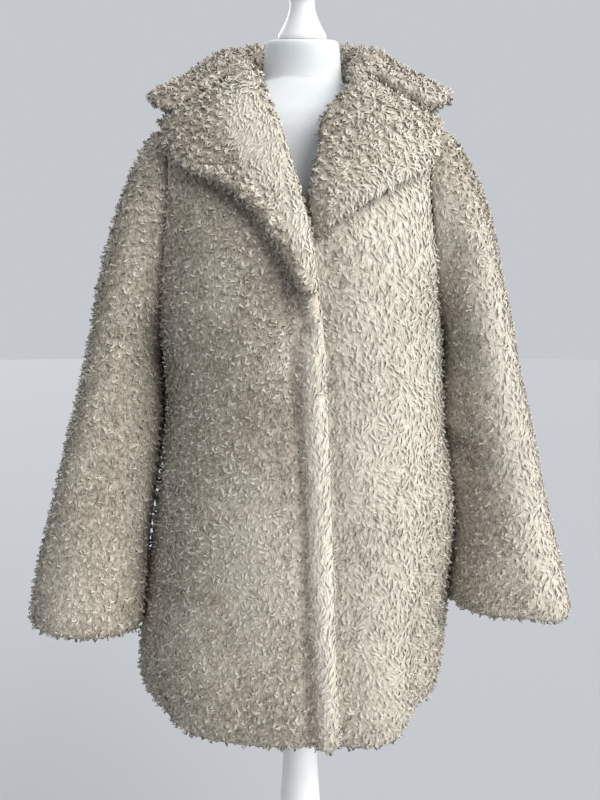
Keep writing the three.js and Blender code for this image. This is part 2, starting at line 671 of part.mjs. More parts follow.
// A lapel lies on its front: the front's own points, moved out, springing a little at its edge.
function lapel(name, side, table, sewn) {
  const outline = curves(table, "z");
  const [low, high] = [table[0].z, table[table.length - 1].z];
  const grids = [[], []];
  for (let row = 0; row <= LAPEL_ROWS; row += 1) {
    const z = mix(low, high, row / LAPEL_ROWS);
    const thick = WALL * mix(0.4, 1, smoothstep(low, low + 50, z));
    const points = [];
    for (let column = 0; column <= LAPEL_COLUMNS; column += 1) {
      const across = column / LAPEL_COLUMNS;
      const x = mix(outline.roll(z), outline.outer(z), across);
      const turn = turnAtX(side, x, z);
      const normal = bodyNormal(side, turn, z);
      const off = mix(sewn, LAPEL_REST, smoothstep(0, 0.3, across));
      const rest = frontLift(side, turn, z) + off + LAPEL_SPRING * across * across;
      const full = rest + thick - 3 * hump(across, 0.25) - 2 * hump(1 - across, 0.2);
      const at = bodyPoint(side, turn, z);
      points.push([full, rest].map((height) => at.clone().addScaledVector(normal, height)));
    }
    grids.forEach((grid, layer) => grid.push(points.map((pair) => pair[layer])));
  }
  return meshOf(name, wall(grids[0], grids[1], false), FUR);
}

// Collar stations all round, from the right notch over the back to the left notch.
function collarStations() {
  const right = COLLAR.map((row) => stationPoints(row, -1));
  const left = COLLAR.slice(0, -1).map((row) => stationPoints(row, 1));
  return [...right, ...left.reverse()];
}

// One station as a curve from its foot up the stand, over the roll and out to its edge.
function stationPoints(row, side) {
  const [foot, middle, edge] = [row.foot, row.middle, row.edge].map(
    ([x, y, z]) => new THREE.Vector3(side * x, y, z),
  );
  const out = edge.clone().sub(foot).setZ(0).normalize();
  const lean = row.lean + ROLL_LEAN;
  const tall = (row.rollZ - foot.z) / STAND;
  const fall = ROLL_FALL.least + ROLL_FALL.full * tall;
  const top = foot.clone().addScaledVector(out, lean).setZ(row.rollZ);
  const stand = foot.clone().lerp(top, 0.6).addScaledVector(out, -STAND_BEND * tall);
  const over = foot.clone().addScaledVector(out, lean + ROLL_WIDTH).setZ(row.rollZ - fall);
  return new THREE.CatmullRomCurve3([foot, stand, top, over, middle, edge], false, "centripetal");
}

function collar() {
  const profiles = collarStations();
  const lines = [];
  for (let step = 0; step <= COLLAR_STEPS; step += 1) {
    const along = profiles.map((profile) => profile.getPointAt(step / COLLAR_STEPS));
    lines.push(new THREE.CatmullRomCurve3(along, false, "centripetal"));
  }
  const stations = (profiles.length - 1) * COLLAR_BETWEEN;
  const middle = [];
  for (let station = 0; station <= stations; station += 1) {
    middle.push(lines.map((line) => line.getPoint(station / stations)));
  }
  const grids = [1, -1].map((face) => middle.map((row, r) => row.map((point, i) => {
    const round = mix(1, 0.6, smoothstep(0.88, 1, i / COLLAR_STEPS));
    const thick = round * mix(WALL, COLLAR_WALL, smoothstep(0.3, 0.6, i / COLLAR_STEPS));
    return point.clone().addScaledVector(sheetNormal(middle, r, i), (face * thick) / 2);
  })));
  return meshOf("collar", wall(grids[0], grids[1], false), FUR);
}

function sheetNormal(grid, r, i) {
  const next = grid[Math.min(r + 1, grid.length - 1)][i];
  const before = grid[Math.max(r - 1, 0)][i];
  const right = grid[r][Math.min(i + 1, grid[r].length - 1)];
  const left = grid[r][Math.max(i - 1, 0)];
  return next.clone().sub(before).cross(right.clone().sub(left)).normalize();
}

// The form's trunk follows the coat's inside with its own ease, then narrows to the neck.
function torso() {
  const rings = [];
  for (const z of FORM_ROWS) {
    rings.push(ring(TORSO_SEGMENTS, (turn) => {
      const side = Math.cos(turn) < 0 ? -1 : 1;
      const local = Math.atan2(Math.sin(turn), Math.abs(Math.cos(turn)));
      const level = z === FORM_BOTTOM_Z ? FORM_BOTTOM_Z : null;
      return formPoint(side, local, z, level);
    }));
  }
  for (const row of FORM_NECK) rings.push(ring(TORSO_SEGMENTS, (turn) => neckPoint(turn, row)));
  return meshOf("torso", stackOfRings(rings), JERSEY);
}

function ring(around, pointAt) {
  return Array.from({ length: around }, (_, i) => pointAt((2 * Math.PI * i) / around));
}

function formPoint(side, turn, z, level) {
  const normal = bodyNormal(side, turn, z);
  const deep = Math.sin(turn) ** 2;
  const space = mix(ease.side(z), turn < 0 ? ease.front(z) : ease.back(z), deep);
  const point = bodyPoint(side, turn, z).addScaledVector(normal, -(WALL + FORM_GAP + space));
  return level === null ? point : point.setZ(level);
}

// A point of the tilted neck: its rings lean forward more towards the top.
function neckPoint(turn, { z, middle, width, depth }) {
  const climb = (z - FORM_NECK[0].z) / (NECK_TOP.z - FORM_NECK[0].z);
  const deep = depth * Math.sin(turn);
  const rise = Math.tan(NECK_TILT) * climb * deep;
  return new THREE.Vector3(NECK_X + width * Math.cos(turn), middle + deep, z + rise);
}

// A turned piece, from rows of height and radius.
function turned(name, table, material) {
  const points = table.map((row) => new THREE.Vector2(row.radius, row.height));
  const geometry = new THREE.LatheGeometry(points, TURNED_SEGMENTS);
  geometry.rotateX(Math.PI / 2);
  return meshOf(name, geometry, material);
}

const CAP_PROFILE = [
  { height: 0, radius: 0 },
  { height: 0, radius: 31 },
  { height: 3, radius: 32 },
  { height: 6, radius: 31 },
  { height: 14, radius: 26 },
  { height: 26, radius: 19 },
  { height: 40, radius: 15.5 },
  { height: 46, radius: 16.5 },
  { height: 53, radius: 21 },
  { height: 62, radius: 24.5 },
  { height: 72, radius: 24 },
  { height: 81, radius: 18 },
  { height: 86, radius: 10 },
  { height: 88, radius: 0 },
];

const POST_PROFILE = [
  { height: 0, radius: 0 },
  { height: 0, radius: 50 },
  { height: 12, radius: 51 },
  { height: 26, radius: 44 },
  { height: 60, radius: 31 },
  { height: 130, radius: 25 },
  { height: 220, radius: 27 },
  { height: 310, radius: 32 },
  { height: 345, radius: 32 },
  { height: 382, radius: 28.5 },
  { height: 446, radius: 24.2 },
  { height: 530, radius: 21.5 },
  { height: 650, radius: 20.5 },
  { height: 690, radius: 24 },
  { height: 696, radius: 34 },
  { height: 717, radius: 36 },
  { height: 717, radius: 0 },
];

const BASE_PROFILE = [
  { height: 0, radius: 0 },
  { height: 0, radius: BASE_RADIUS },
  { height: 10, radius: BASE_RADIUS },
  { height: 18, radius: BASE_RADIUS - 7 },
  { height: 22, radius: BASE_RADIUS - 22 },
  { height: BASE_HEIGHT, radius: 70 },
  { height: BASE_HEIGHT, radius: 0 },
];

function neckCap() {
  const cap = turned("neck_cap", CAP_PROFILE, LACQUER);
  cap.rotation.x = NECK_TILT;
  cap.position.set(NECK_X, NECK_TOP.middle, NECK_TOP.z + SEAM);
  return cap;
}

function post() {
  const column = turned("post", POST_PROFILE, LACQUER);
  column.position.z = BASE_HEIGHT + SEAM;
  return column;
}

const coat = new THREE.Group();
coat.add(
  backPanel(),
  frontPanel("front_right", -1),
  frontPanel("front_left", 1),
  sleeve("sleeve_right", -1, SLEEVE_RIGHT),
  sleeve("sleeve_left", 1, SLEEVE_LEFT),
  collar(),
  lapel("lapel_right", -1, LAPEL_RIGHT, LAPEL_SEWN.right),
  lapel("lapel_left", 1, LAPEL_LEFT, LAPEL_SEWN.left),
);

const form = new THREE.Group();
form.add(torso(), neckCap(), post(), turned("base", BASE_PROFILE, LACQUER));

const model = new THREE.Group();
model.add(coat, form);

export default model;
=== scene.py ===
"""A cream curly faux fur coat on a white dress form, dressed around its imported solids."""

import logging
import math
from dataclasses import dataclass, field
from enum import Enum
from typing import Any

import bmesh
import bpy
import numpy as np
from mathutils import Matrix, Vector
from mathutils.bvhtree import BVHTree
from mathutils.kdtree import KDTree


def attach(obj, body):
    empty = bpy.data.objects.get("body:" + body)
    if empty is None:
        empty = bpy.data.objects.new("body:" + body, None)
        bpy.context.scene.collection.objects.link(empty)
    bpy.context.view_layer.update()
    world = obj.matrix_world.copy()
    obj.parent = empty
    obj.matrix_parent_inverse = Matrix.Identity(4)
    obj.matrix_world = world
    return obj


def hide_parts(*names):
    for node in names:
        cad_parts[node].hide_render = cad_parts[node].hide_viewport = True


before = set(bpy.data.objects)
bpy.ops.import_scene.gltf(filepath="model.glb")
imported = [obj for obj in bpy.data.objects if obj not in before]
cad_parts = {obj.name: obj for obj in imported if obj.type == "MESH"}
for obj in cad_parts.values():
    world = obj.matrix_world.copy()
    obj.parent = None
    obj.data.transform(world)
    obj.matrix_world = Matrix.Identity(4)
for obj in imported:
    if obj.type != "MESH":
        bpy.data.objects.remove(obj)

BODY_NAME = "root"
PILE_MAP = "OFBake"  # u holds a lock's tint and v runs from its root to its tip
COMBED = "combed"  # how smooth the pile is combed at a point of the cloth
FURRED = 0  # the material slot of the side that carries the pile
BACKED = 1  # the material slot of the knitted back
WISP_SEEDS = 50  # what is added to a piece's seed for its wisps
MM = 0.001
UP = np.array([0.0, 0.0, 1.0])

Array = np.ndarray
Colour = tuple[float, float, float]

log = logging.getLogger("coat")


class Shade:
    """A number that varies over a surface. Arithmetic on it adds Math nodes."""

    def __init__(self, nodes: "Nodes", socket: bpy.types.NodeSocket) -> None:
        """Wraps one socket.

        Args:
            nodes: The tree that the socket is in.
            socket: The output that carries the number.
        """
        self.nodes = nodes
        self.socket = socket

    def _math(self, operation: str, other: Any) -> "Shade":
        """Adds one Math node.

        Args:
            operation: What the node does.
            other: The second number or shade.

        Returns:
            The result.
        """
        node = self.nodes.add("ShaderNodeMath", {"operation": operation}, {0: self, 1: other})
        return Shade(self.nodes, node.outputs[0])

    def __add__(self, other: Any) -> "Shade":
        """The sum."""
        return self._math("ADD", other)

    def __mul__(self, other: Any) -> "Shade":
        """The product."""
        return self._math("MULTIPLY", other)


class Nodes:
    """The node tree of one material, with its Principled shader."""

    MIX_SHARE, MIX_FIRST, MIX_SECOND, MIX_RESULT = 0, 6, 7, 2  # a Mix node's places for colours

    def __init__(self, name: str) -> None:
        """Makes an empty material.

        Args:
            name: The material's name.
        """
        self.material = bpy.data.materials.new(name)
        self.material.use_nodes = True
        self.tree = self.material.node_tree
        self.tree.nodes.clear()

    def add(self, kind: str, settings: dict | None = None, inputs: dict | None = None) -> bpy.types.Node:
        """Adds one node.

        Args:
            kind: The node's type.
            settings: Its own settings by name. "stops" holds a ramp's places and colours.
            inputs: A number, colour, socket or shade for each input, by name or place.

        Returns:
            The node.
        """
        node = self.tree.nodes.new(kind)
        for name, value in (settings or {}).items():
            if name == "stops":
                self._set_stops(node.color_ramp, value)
            else:
                setattr(node, name, value)
        for name, value in (inputs or {}).items():
            if isinstance(value, Shade):
                value = value.socket
            if isinstance(value, bpy.types.NodeSocket):
                self.tree.links.new(value, node.inputs[name])
            else:
                node.inputs[name].default_value = value
        return node

    @staticmethod
    def _set_stops(ramp: bpy.types.ColorRamp, stops: list[tuple[float, Colour]]) -> None:
        """Gives a ramp its stops.

        Args:
            ramp: The ramp of a new node, which has two stops.
            stops: Each stop's place and colour, in order.
        """
        for i, (place, colour) in enumerate(stops):
            stop = ramp.elements[i] if i < 2 else ramp.elements.new(place)
            stop.position = place
            stop.color = (*colour, 1)

    def shade(self, node: bpy.types.Node, output: str | int = 0) -> Shade:
        """One output of a node, as a shade."""
        return Shade(self, node.outputs[output])

    def ramp(self, at: Shade, stops: list[tuple[float, Colour]]) -> bpy.types.NodeSocket:
        """A colour read from a ramp."""
        return self.add("ShaderNodeValToRGB", {"stops": stops}, {"Fac": at}).outputs["Color"]

    def mix(self, share: Any, first: bpy.types.NodeSocket,
            second: bpy.types.NodeSocket) -> bpy.types.NodeSocket:
        """Mixes two colours.

        Args:
            share: How much of the second, as a socket or shade.
            first: A colour.
            second: Another.

        Returns:
            The mixed colour.
        """
        inputs = {self.MIX_SHARE: share, self.MIX_FIRST: first, self.MIX_SECOND: second}
        node = self.add("ShaderNodeMix", {"data_type": "RGBA"}, inputs)
        return node.outputs[self.MIX_RESULT]

    def noise(self, size: float, detail: float = 2,
              stretch: tuple[float, float, float] = (1, 1, 1)) -> Shade:
        """Noise in the object's own coordinates.

        Args:
            size: The width of one lump, in metres.
            detail: How many finer layers it has.
            stretch: How much it is squeezed along each axis.

        Returns:
            A number from 0 to 1.
        """
        place = self.add("ShaderNodeTexCoord").outputs["Object"]
        mapped = self.add("ShaderNodeMapping", {}, {"Vector": place, "Scale": stretch}).outputs[0]
        settings = {"Vector": mapped, "Scale": 1 / size, "Detail": detail}
        return self.shade(self.add("ShaderNodeTexNoise", {}, settings))

    def bump(self, height: Shade, strength: float, depth: float) -> bpy.types.NodeSocket:
        """A bumped normal.

        Args:
            height: The surface's height.
            strength: How strongly it shows.
            depth: The height of 1, in metres.

        Returns:
            The normal.
        """
        inputs = {"Height": height, "Strength": strength, "Distance": depth}
        return self.add("ShaderNodeBump", {}, inputs).outputs[0]

    def finish(self, inputs: dict) -> bpy.types.Material:
        """Closes the tree with a Principled shader.

        Args:
            inputs: The shader's sockets by name.

        Returns:
            The material.
        """
        shader = self.add("ShaderNodeBsdfPrincipled", {}, inputs)
        output = self.add("ShaderNodeOutputMaterial")
        self.tree.links.new(shader.outputs[0], output.inputs["Surface"])
        return self.material


@dataclass(frozen=True)
class PileFinish:
    """The locks: darker at the root, where the shade deep in the pile is painted, and lighter at the
    tip, each with its own tint.
    """

    # painted shade: the root colours stand for the shade deep in the pile, lighter where the tint is
    # high, as where combed
    root: Colour = (0.27, 0.235, 0.185)
    combed_root: Colour = (0.52, 0.475, 0.395)
    # painted shade: the colour of the darkest tint, for locks at the gaps between clumps and in the
    # recesses
    gap: Colour = (0.36, 0.32, 0.26)
    dull: Colour = (0.52, 0.475, 0.395)
    plain: Colour = (0.66, 0.615, 0.53)
    bright: Colour = (0.74, 0.705, 0.62)
    rough: float = 0.65
    sheen: float = 0.18
    sheen_rough: float = 0.4

    def material(self) -> bpy.types.Material:
        """The pile's material, read from the pile map alone."""
        nodes = Nodes("curly_pile")
        place = nodes.add("ShaderNodeUVMap", {"uv_map": PILE_MAP}).outputs[0]
        apart = nodes.add("ShaderNodeSeparateXYZ", {}, {0: place})
        tint = nodes.shade(apart, "X")
        along = nodes.shade(apart, "Y")
        # the tint's low end is painted shade at the gaps and recesses, its high end partly a painted
        # sheen where combed, and the rest the locks' own differing tone
        tips = [(0.0, self.gap), (0.22, self.dull), (0.55, self.plain), (1.0, self.bright)]
        tip = nodes.ramp(tint, tips)
        # painted shade: the roots are darker than the tips, and lit runs from the shaded root to the tip
        # along each lock
        root = nodes.ramp(tint, [(0.2, self.root), (0.62, self.combed_root)])
        lit = nodes.ramp(along, [(0.12, (0, 0, 0)), (0.5, (0.7,) * 3), (0.9, (1, 1, 1))])
        return nodes.finish({
            "Base Color": nodes.mix(lit, root, tip),
            "Roughness": self.rough,
            "Sheen Weight": self.sheen,
            "Sheen Roughness": self.sheen_rough,
            "Specular IOR Level": 0.2,
        })


@dataclass(frozen=True)
class UnderPileFinish:
    """The dense short fibres between the curls, painted dark as the shade under the curls, and lighter
    where the pile is combed flat.
    """

    dark: Colour = (0.22, 0.19, 0.15)
    light: Colour = (0.50, 0.455, 0.38)
    combed_dark: Colour = (0.60, 0.555, 0.47)
    combed_light: Colour = (0.78, 0.74, 0.66)

    def material(self) -> bpy.types.Material:
        """The material of the cloth's face under the curls, with painted shade, lighter where it is
        combed smooth.
        """
        nodes = Nodes("under_pile")
        clumps = nodes.noise(5 * MM, 2)
        streaks = nodes.noise(1.6 * MM, 2, (1, 1, 0.3))
        height = clumps * 0.55 + streaks * 0.45
        # painted shade: curly places are dark as the shade under the curls, combed ones lighter
        curly = nodes.ramp(height, [(0.38, self.dark), (0.62, self.light)])
        sleek = nodes.ramp(height, [(0.38, self.combed_dark), (0.62, self.combed_light)])
        combed = nodes.shade(nodes.add("ShaderNodeAttribute", {"attribute_name": COMBED}), "Fac")
        return nodes.finish({
            "Base Color": nodes.mix(combed, curly, sleek),
            "Roughness": 0.95,
            "Specular IOR Level": 0.1,
            "Normal": nodes.bump(height, 0.8, 2.5 * MM),
        })


@dataclass(frozen=True)
class BackingFinish:
    """The knitted back of the fur cloth, seen inside the sleeves and the hem."""

    light: Colour = (0.62, 0.55, 0.45)
    dark: Colour = (0.47, 0.41, 0.33)
    course: float = 1.6 * MM

    def material(self) -> bpy.types.Material:
        """The backing's material, with its knitted courses."""
        nodes = Nodes("knit_backing")
        place = nodes.add("ShaderNodeTexCoord").outputs["Object"]
        settings = {"wave_type": "BANDS", "bands_direction": "Z"}
        inputs = {"Vector": place, "Scale": math.pi / 10 / self.course, "Distortion": 1.5}
        courses = nodes.shade(nodes.add("ShaderNodeTexWave", settings, inputs), "Fac")
        soft = nodes.noise(60 * MM, 2)
        colour = nodes.ramp(soft * 0.6 + courses * 0.4, [(0.3, self.dark), (0.7, self.light)])
        return nodes.finish({
            "Base Color": colour,
            "Roughness": 0.9,
            "Normal": nodes.bump(courses, 0.5, 0.4 * MM),
        })


@dataclass(frozen=True)
class JerseyFinish:
    """Fine white jersey, stretched over the form."""

    light: Colour = (0.70, 0.73, 0.75)
    dark: Colour = (0.62, 0.65, 0.67)
    wale: float = 0.9 * MM

    def material(self) -> bpy.types.Material:
        """The jersey's material, with its fine upright wales."""
        nodes = Nodes("white_jersey")
        wales = nodes.noise(self.wale, 1, (1, 1, 0.25))
        soft = nodes.noise(45 * MM, 2)
        colour = nodes.ramp(soft * 0.7 + wales * 0.3, [(0.3, self.dark), (0.7, self.light)])
        return nodes.finish({
            "Base Color": colour,
            "Roughness": 0.8,
            "Sheen Weight": 0.15,
            "Specular IOR Level": 0.3,
            "Normal": nodes.bump(wales, 0.35, 0.3 * MM),
        })


@dataclass(frozen=True)
class LacquerFinish:
    """Satin white lacquer over turned wood, with faint brush marks and handling."""

    light: Colour = (0.76, 0.765, 0.78)
    dull: Colour = (0.72, 0.723, 0.73)

    def material(self) -> bpy.types.Material:
        """The lacquer's material."""
        nodes = Nodes("white_lacquer")
        handled = nodes.noise(35 * MM, 4)
        brushed = nodes.noise(2.5 * MM, 2, (1, 1, 6))
        return nodes.finish({
            "Base Color": nodes.ramp(handled, [(0.35, self.dull), (0.6, self.light)]),
            "Roughness": handled * 0.25 + 0.22,
            "Coat Weight": 0.25,
            "Coat Roughness": 0.2,
            "Normal": nodes.bump(brushed, 0.15, 0.2 * MM),
        })


def unit(vectors: Array) -> Array:
    """The vectors, each at length 1."""
    return vectors / np.maximum(np.linalg.norm(vectors, axis=-1, keepdims=True), 1e-9)


def along_surface(vectors: Array, normals: Array) -> Array:
    """What is left of the vectors once their part along the normals is taken out, at length 1."""
    return unit(vectors - (vectors * normals).sum(1, keepdims=True) * normals)


def smooth(low: float, high: float, value: Array) -> Array:
    """A soft step from 0 at low to 1 at high."""
    t = np.clip((value - low) / (high - low), 0, 1)
    return t * t * (3 - 2 * t)


def calmed(brushed: Array, by: float) -> Array:
    """What is left of a difference between locks where the pile is combed smooth."""
    return 1 - by * brushed


def in_front(points: Array) -> Array:
    """1 on the coat's front, fading to 0 on its back."""
    return smooth(40 * MM, -20 * MM, points[:, 1])


def kd_tree(points: Array) -> KDTree:
    """The points in a tree that finds the nearest ones."""
    tree = KDTree(len(points))
    for i, point in enumerate(points):
        tree.insert(point, i)
    tree.balance()
    return tree


def apart(points: Array, distance: float) -> list[int]:
    """Picks points that keep a distance from each other.

    Args:
        points: The points, in a random order.
        distance: The least distance, in metres.

    Returns:
        The places of the picked ones.
    """
    tree = kd_tree(points)
    free = np.ones(len(points), bool)
    kept = []
    for i, point in enumerate(points):
        if not free[i]:
            continue
        kept.append(i)
        for _, near, _ in tree.find_range(point, distance):
            free[near] = False
    return kept


def column(items: Any, name: str, kind: type, width: int = 1) -> Array:
    """Reads one value of every item of a mesh.

    Args:
        items: The mesh's points, faces or triangles.
        name: The value.
        kind: The type of its numbers.
        width: How many numbers each item has.

    Returns:
        All the numbers, one after the other.
    """
    values = np.empty(width * len(items), kind)
    items.foreach_get(name, values)
    return values


def points_and_normals(mesh: bpy.types.Mesh) -> tuple[Array, Array]:
    """Where the points of a mesh are, and which way it faces there.

    Args:
        mesh: The mesh.

    Returns:
        The points and the normals.
    """
    points = column(mesh.vertices, "co", np.float32, 3).reshape(-1, 3)
    normals = column(mesh.vertices, "normal", np.float32, 3).reshape(-1, 3)
    return points.astype(float), normals.astype(float)


def welded(node: str) -> bmesh.types.BMesh:
    """A solid's mesh, with its points joined and its triangles paired to four-sided faces.

    Args:
        node: The solid.

    Returns:
        The mesh.
    """
    made = bmesh.new()
    made.from_mesh(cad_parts[node].data)
    bmesh.ops.remove_doubles(made, verts=made.verts, dist=0.01 * MM)
    bmesh.ops.join_triangles(
        made, faces=made.faces, angle_face_threshold=1.0, angle_shape_threshold=2.0,
    )
    return made


def rounded(name: str, made: bmesh.types.BMesh, levels: int,
            finishes: list[bpy.types.Material]) -> bpy.types.Object:
    """A piece made from a mesh, rounded by subdivision.

    Args:
        name: The piece's name.
        made: The mesh, which is freed.
        levels: How many times it is subdivided.
        finishes: Its materials, slot by slot.

    Returns:
        The piece.
    """
    for face in made.faces:
        face.smooth = True
    mesh = bpy.data.meshes.new(name)
    made.to_mesh(mesh)
    made.free()
    piece = bpy.data.objects.new(name, mesh)
    bpy.context.scene.collection.objects.link(piece)
    rounder = piece.modifiers.new("rounder", "SUBSURF")
    rounder.levels = rounder.render_levels = levels
    settled = piece.evaluated_get(bpy.context.evaluated_depsgraph_get())
    piece.data = bpy.data.meshes.new_from_object(settled)
    piece.modifiers.clear()
    piece.data.materials.clear()
    for finish in finishes:
        piece.data.materials.append(finish)
    return piece


@dataclass
class Waves:
    """A soft random field through space, summed from a few sine waves."""

    size: float
    seed: int
    count: int = 14

    def __call__(self, points: Array) -> Array:
        """The field at some points.

        Args:
            points: The points, in metres.

        Returns:
            Numbers mostly between -1 and 1.
        """
        chance = np.random.default_rng(self.seed)
        ways = unit(chance.normal(size=(self.count, 3)))
        pitch = 2 * math.pi / self.size * chance.uniform(0.7, 1.4, self.count)
        start = chance.uniform(0, 2 * math.pi, self.count)
        waves = np.sin(points @ (ways * pitch[:, None]).T + start)
        return waves.sum(1) / math.sqrt(self.count / 2)


BROAD_TINT = Waves(140 * MM, 21)
PATCH_TINT = Waves(32 * MM, 22)
FINE_TINT = Waves(13 * MM, 23)
STRAY_COMBING = Waves(110 * MM, 5)
SWIRLS = Waves(90 * MM, 31)
SMALL_LUMPS = Waves(24 * MM, 41)
WIDE_LUMPS = Waves(60 * MM, 42)


class Course(Enum):
    """What a piece of the coat runs round, which tells its outside from its inside."""

    BODY = "body"
    SLEEVE = "sleeve"
    COLLAR = "collar"


@dataclass(frozen=True)
class BrushedPatch:
    """A place on the front where the curls are combed smooth, and are painted lighter as the sheen of
    combed pile.
    """

    x: float
    z: float
    wide: float
    tall: float
    lean: float = 0.0
    strength: float = 1.0

    def share(self, points: Array) -> Array:
        """How smooth the pile is combed at some points.

        Args:
            points: The points, in metres.

        Returns:
            Numbers from 0 to 1.
        """
        down = (points[:, 2] - self.z * MM) / (self.tall * MM)
        across = points[:, 0] / MM - self.x - self.lean * (points[:, 2] / MM - self.z)
        reach = np.hypot(across / self.wide, down)
        return self.strength * smooth(1.4, 0.4, reach) * in_front(points)


# Combed places: their locks lie flatter, and their tint is raised as a painted sheen
BRUSHED = [
    BrushedPatch(x=26, z=850, wide=17, tall=330, lean=-0.035),
    BrushedPatch(x=10, z=1170, wide=18, tall=80, lean=-0.4),
    BrushedPatch(x=-48, z=1300, wide=34, tall=75, lean=-0.35),
    BrushedPatch(x=120, z=1200, wide=75, tall=90, strength=0.9),
    BrushedPatch(x=120, z=1290, wide=40, tall=30, strength=0.6),
    BrushedPatch(x=-45, z=790, wide=50, tall=150, strength=0.4),
    BrushedPatch(x=105, z=930, wide=85, tall=430, strength=0.6),
    BrushedPatch(x=295, z=930, wide=52, tall=330, lean=-0.22, strength=0.7),
    BrushedPatch(x=130, z=1385, wide=75, tall=45, strength=0.5),
    BrushedPatch(x=145, z=1000, wide=45, tall=150, strength=0.7),
    BrushedPatch(x=140, z=780, wide=45, tall=140, strength=0.5),
]


@dataclass(frozen=True)
class Relief:
    """A long ridge or ditch down the front, through places from the bottom up."""

    heights: tuple[float, ...]
    places: tuple[float, ...]
    half_width: float
    lift: float
    low_end: float = 30
    high_end: float = 60
    steepness: float = 2.2

    def rise(self, points: Array) -> Array:
        """How far the cloth is lifted at some points.

        Args:
            points: The points, in metres.

        Returns:
            The lifts, in metres.
        """
        z = points[:, 2] / MM
        off = (points[:, 0] / MM - np.interp(z, self.heights, self.places)) / self.half_width
        ends = smooth(0, self.low_end, z - self.heights[0] + self.low_end)
        ends *= smooth(0, self.high_end, self.heights[-1] - z)
        return self.lift * MM * np.exp(-self.steepness * off ** 2) * ends * in_front(points)


def lifted(reliefs: tuple[Relief, ...], points: Array) -> Array:
    """How far several reliefs lift the cloth, where each ditch or ridge counts once.

    Args:
        reliefs: The reliefs.
        points: The points, in metres.

    Returns:
        The lifts, in metres.
    """
    rises = np.array([relief.rise(points) for relief in reliefs] + [np.zeros(len(points))])
    return rises.max(0) + rises.min(0)


ROLL = Relief(
    heights=(560, 600, 750, 900, 1060, 1130, 1200), places=(36, 35, 29, 23, 17, 9, -4),
    half_width=17, lift=4.0,
)
DITCH = Relief(
    heights=(560, 620, 740, 860, 980, 1060, 1130, 1190), places=(12, 10, 4, 1, -6, -9, -18, -32),
    half_width=10, lift=-5.5,
)
UNDER_LAPEL = Relief(
    heights=(1075, 1122, 1150, 1183, 1206, 1228, 1246, 1264, 1279, 1290),
    places=(6, -6, -20, -36, -52, -72, -97, -132, -156, -166), half_width=17, lift=-6.5,
)
LAPEL_LIP = Relief(
    heights=(1110, 1122, 1150, 1183, 1206, 1228, 1246, 1264, 1279, 1330),
    places=(10, 5, -8, -23, -38, -57, -81, -115, -138, -150), half_width=20, lift=5.0,
)
DIMPLE = Relief(heights=(840, 860, 875, 940), places=(4, 4, 4, 4), half_width=9, lift=-4.0)


@dataclass(frozen=True)
class Droop:
    """How the front of the collar bends down until it meets the lapels."""

    down: float = 20 * MM
    begins: float = -5 * MM
    full: float = -55 * MM
    tips: tuple[float, float] = (140 * MM, 195 * MM)
    at_tips: float = 0.45

    def move(self, points: Array) -> Array:
        """The points, moved down.

        Args:
            points: The points, in metres.

        Returns:
            The moved points.
        """
        share = smooth(self.begins, self.full, points[:, 1])
        share *= 1 - (1 - self.at_tips) * smooth(*self.tips, np.abs(points[:, 0]))
        return points - UP * (self.down * share)[:, None]


@dataclass(frozen=True)
class SleeveLean:
    """How the inner side of a sleeve swells until it rests against the body."""

    most: float = 22 * MM
    at_cuff: float = 13 * MM
    at_armhole: float = 5 * MM
    heights: tuple[float, float, float, float] = (0.65, 0.76, 0.95, 1.09)
    armhole: tuple[float, float] = (1.20, 1.32)

    def move(self, points: Array, centres: Array) -> Array:
        """The points, moved towards the body.

        Args:
            points: The points, in metres.
            centres: A point of the sleeve's middle line for each.

        Returns:
            The moved points.
        """
        cuff, low, high, pit = self.heights
        inwards = -np.sign(points[:, 0])
        share = smooth(0.0, 0.9, unit(points - centres)[:, 0] * inwards)
        z = points[:, 2]
        size = self.at_cuff + (self.most - self.at_cuff) * smooth(cuff, low, z)
        size = self.at_armhole + (size - self.at_armhole) * smooth(pit, high, z)
        size *= 1 - smooth(*self.armhole, z)
        moved = points.copy()
        moved[:, 0] += inwards * share * size
        return moved


@dataclass(frozen=True)
class Lock:
    """One kind of lock: three-sided, set in the cloth, and bent over to a point."""

    height: float
    reach: float
    half_width: float
    half_depth: float
    swing: float
    stray: float
    flattened: float
    drawn_out: float
    steps: tuple[float, ...]
    widths: tuple[float, ...]
    curly_share: float
    brushed_share: float

    def faces(self) -> Array:
        """The triangles of one lock: its root, its sides and its point."""
        rings = len(self.widths)
        tip = 3 * rings
        faces = [(0, 2, 1)]
        for ring in range(rings - 1):
            for corner in range(3):
                a, b = 3 * ring + corner, 3 * ring + (corner + 1) % 3
                faces += [(a, b, b + 3), (a, b + 3, a + 3)]
        faces += [(tip - 3 + i, tip - 3 + (i + 1) % 3, tip) for i in range(3)]
        return np.array(faces)

    def kept(self, brushed: Array, chance: np.random.Generator) -> Array:
        """Which places get a lock of this kind, more or fewer where the pile is combed smooth."""
        share = self.curly_share + (self.brushed_share - self.curly_share) * brushed
        return chance.random(len(brushed)) < share


CURL = Lock(
    height=4.0 * MM, reach=7.6 * MM, half_width=1.9 * MM, half_depth=1.2 * MM, swing=1.9 * MM,
    stray=0.35, flattened=0.5, drawn_out=0.35, steps=(0.0, 0.5, 1.0), widths=(0.8, 1.0),
    curly_share=1.0, brushed_share=0.35,
)
WISP = Lock(
    height=4.0 * MM, reach=7.6 * MM, half_width=1.15 * MM, half_depth=0.7 * MM, swing=0.0,
    stray=0.35, flattened=0.5, drawn_out=0.3, steps=(0.0, 1.0), widths=(1.0,),
    curly_share=0.7, brushed_share=1.0,
)


